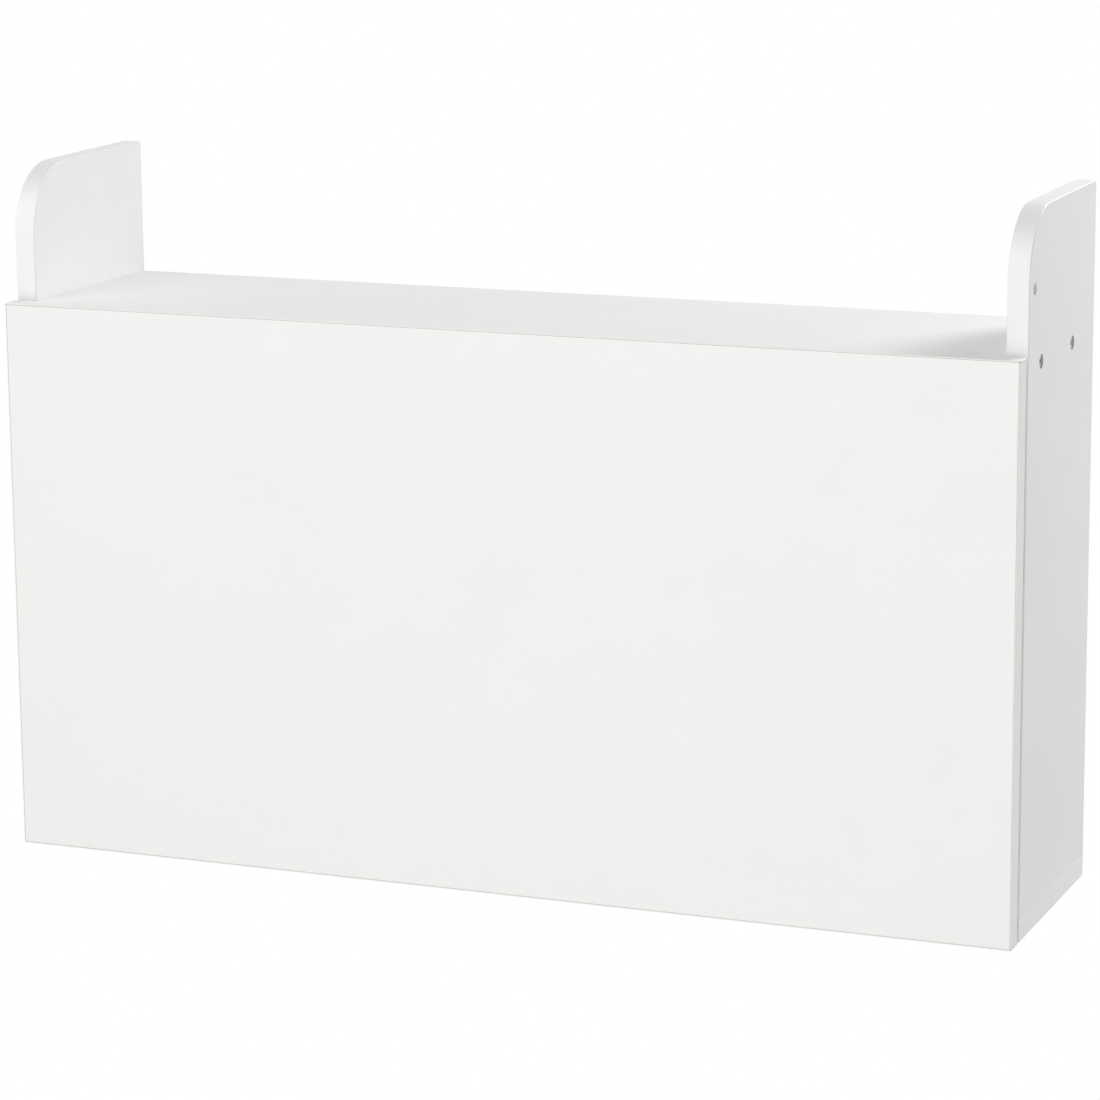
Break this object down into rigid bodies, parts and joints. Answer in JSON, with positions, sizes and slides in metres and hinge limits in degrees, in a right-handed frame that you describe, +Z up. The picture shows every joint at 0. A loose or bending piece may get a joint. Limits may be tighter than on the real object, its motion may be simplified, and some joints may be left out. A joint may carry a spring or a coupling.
{
  "type": "fold down wall desk",
  "caption": "Shallow wall cabinet with rounded ears beside an open top shelf, and a full-width flap hinged at the bottom that folds down to make a desk.",
  "frame": {"origin": "middle of the four wall screw holes, on the wall plane", "axes": "+X to the right along the desk, +Y out of the back towards the wall, +Z up; the flap faces -Y"},
  "size_m": [0.8, 0.2, 0.53],
  "materials": {
    "melamine": "white melamine-faced chipboard, fine texture, semi-gloss",
    "edge_band": "white ABS edge band, satin",
    "hardboard": "white-lacquered hardboard, satin",
    "zinc_steel": "zinc-plated steel, satin",
    "nickel": "nickel-plated steel, bright",
    "beech": "fluted beech dowel, raw",
    "die_cast": "zinc die casting, matt",
    "white_plastic": "white moulded plastic",
    "nylon": "natural nylon",
    "ferrite": "sintered ferrite magnet, dark",
    "clear_rubber": "soft clear bumper"
  },
  "bodies": {
    "cabinet": {"left_side": "melamine", "right_side": "melamine", "left_side_band": "edge_band", "right_side_band": "edge_band", "top_shelf": "melamine", "top_shelf_band": "edge_band", "middle_shelf": "melamine", "middle_shelf_band": "edge_band", "bottom_board": "melamine", "bottom_front_band": "edge_band", "bottom_end_bands": "edge_band", "left_divider": "melamine", "right_divider": "melamine", "divider_bands": "edge_band", "back_panel": "hardboard", "upper_rail": "melamine", "lower_rail": "melamine", "top_shelf_screws": "nickel", "bottom_board_screws": "nickel", "divider_screws": "nickel", "wood_dowels": "beech", "cam_locks": "die_cast", "cam_bolts": "zinc_steel", "hinge_arms": "nickel", "hinge_plates": "nickel", "hinge_plate_screws": "zinc_steel", "hinge_arm_screws": "zinc_steel", "stay_studs": "zinc_steel", "catch_housings": "white_plastic", "catch_magnets": "ferrite", "catch_screws": "zinc_steel", "bumpers": "clear_rubber"},
    "desk": {"flap_board": "melamine", "flap_top_band": "edge_band", "flap_bottom_band": "edge_band", "flap_left_band": "edge_band", "flap_right_band": "edge_band", "hinge_cups": "nickel", "hinge_pins": "zinc_steel", "hinge_cup_screws": "zinc_steel", "left_stay_bracket": "zinc_steel", "right_stay_bracket": "zinc_steel", "stay_bracket_screws": "zinc_steel", "stay_rivets": "zinc_steel", "stay_washers": "nylon", "strike_plates": "zinc_steel", "strike_screws": "zinc_steel"},
    "left_stay": {"left_stay_bar": "zinc_steel"},
    "right_stay": {"right_stay_bar": "zinc_steel"}
  },
  "joints": [
    {"name": "desk_fold", "type": "hinge", "parent": "cabinet", "child": "desk", "pos_m": [0, -0.192, -0.2055], "axis": [1, 0, 0], "range_deg": [0, 90]},
    {"name": "left_stay_swing", "type": "hinge", "parent": "desk", "child": "left_stay", "pos_m": [-0.37975, -0.175, -0.11553], "axis": [1, 0, 0], "range_deg": [-45, 0]},
    {"name": "right_stay_swing", "type": "hinge", "parent": "desk", "child": "right_stay", "pos_m": [0.37975, -0.175, -0.11553], "axis": [1, 0, 0], "range_deg": [-45, 0]}
  ],
  "couplings": [
    {"joint": "left_stay_swing", "follows": "desk_fold", "ratio": -0.5},
    {"joint": "right_stay_swing", "follows": "desk_fold", "ratio": -0.5}
  ]
}
